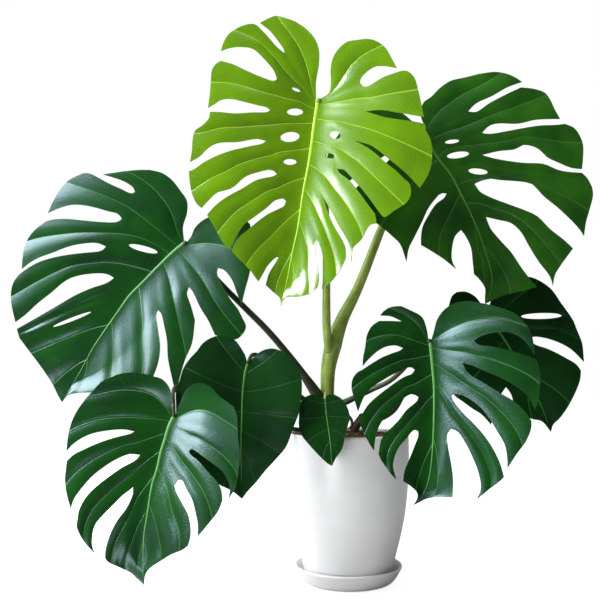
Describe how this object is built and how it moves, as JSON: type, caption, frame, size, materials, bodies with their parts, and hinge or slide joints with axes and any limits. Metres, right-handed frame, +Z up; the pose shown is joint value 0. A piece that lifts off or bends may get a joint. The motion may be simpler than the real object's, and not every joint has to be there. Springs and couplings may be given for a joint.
{
  "type": "potted monstera",
  "caption": "Young monstera houseplant in a tapered white glazed pot on a saucer, with cut and heart-shaped leaves on arching stalks.",
  "frame": {"origin": "centre of the saucer's underside, on the surface that the plant stands on", "axes": "+Z up, the axis of the pot; -Y towards the viewer that the leaves face; +X to that viewer's right"},
  "size_m": [0.8897, 0.3112, 0.8538],
  "materials": {
    "glaze": "gloss",
    "earth": "matte",
    "bark": "matte",
    "young_leaf": "satin",
    "dark_leaf": "gloss",
    "pale_stalk": "satin",
    "dark_stalk": "satin"
  },
  "bodies": {
    "root": {"pot": "glaze", "saucer": "glaze", "soil": "earth", "stem_main": "bark", "stem_side": "bark", "root_aerial": "bark", "leaf_top": "young_leaf", "leaf_upper_right": "dark_leaf", "leaf_lower_right_back": "dark_leaf", "leaf_lower_right": "dark_leaf", "leaf_left": "dark_leaf", "leaf_lower_left": "dark_leaf", "leaf_inner_left": "dark_leaf", "leaf_small": "dark_leaf", "stalk_top": "pale_stalk", "stalk_upper_right": "pale_stalk", "stalk_lower_right_back": "dark_stalk", "stalk_lower_right": "dark_stalk", "stalk_left": "dark_stalk", "stalk_lower_left": "dark_stalk", "stalk_inner_left": "dark_stalk", "stalk_small": "pale_stalk"}
  },
  "joints": []
}
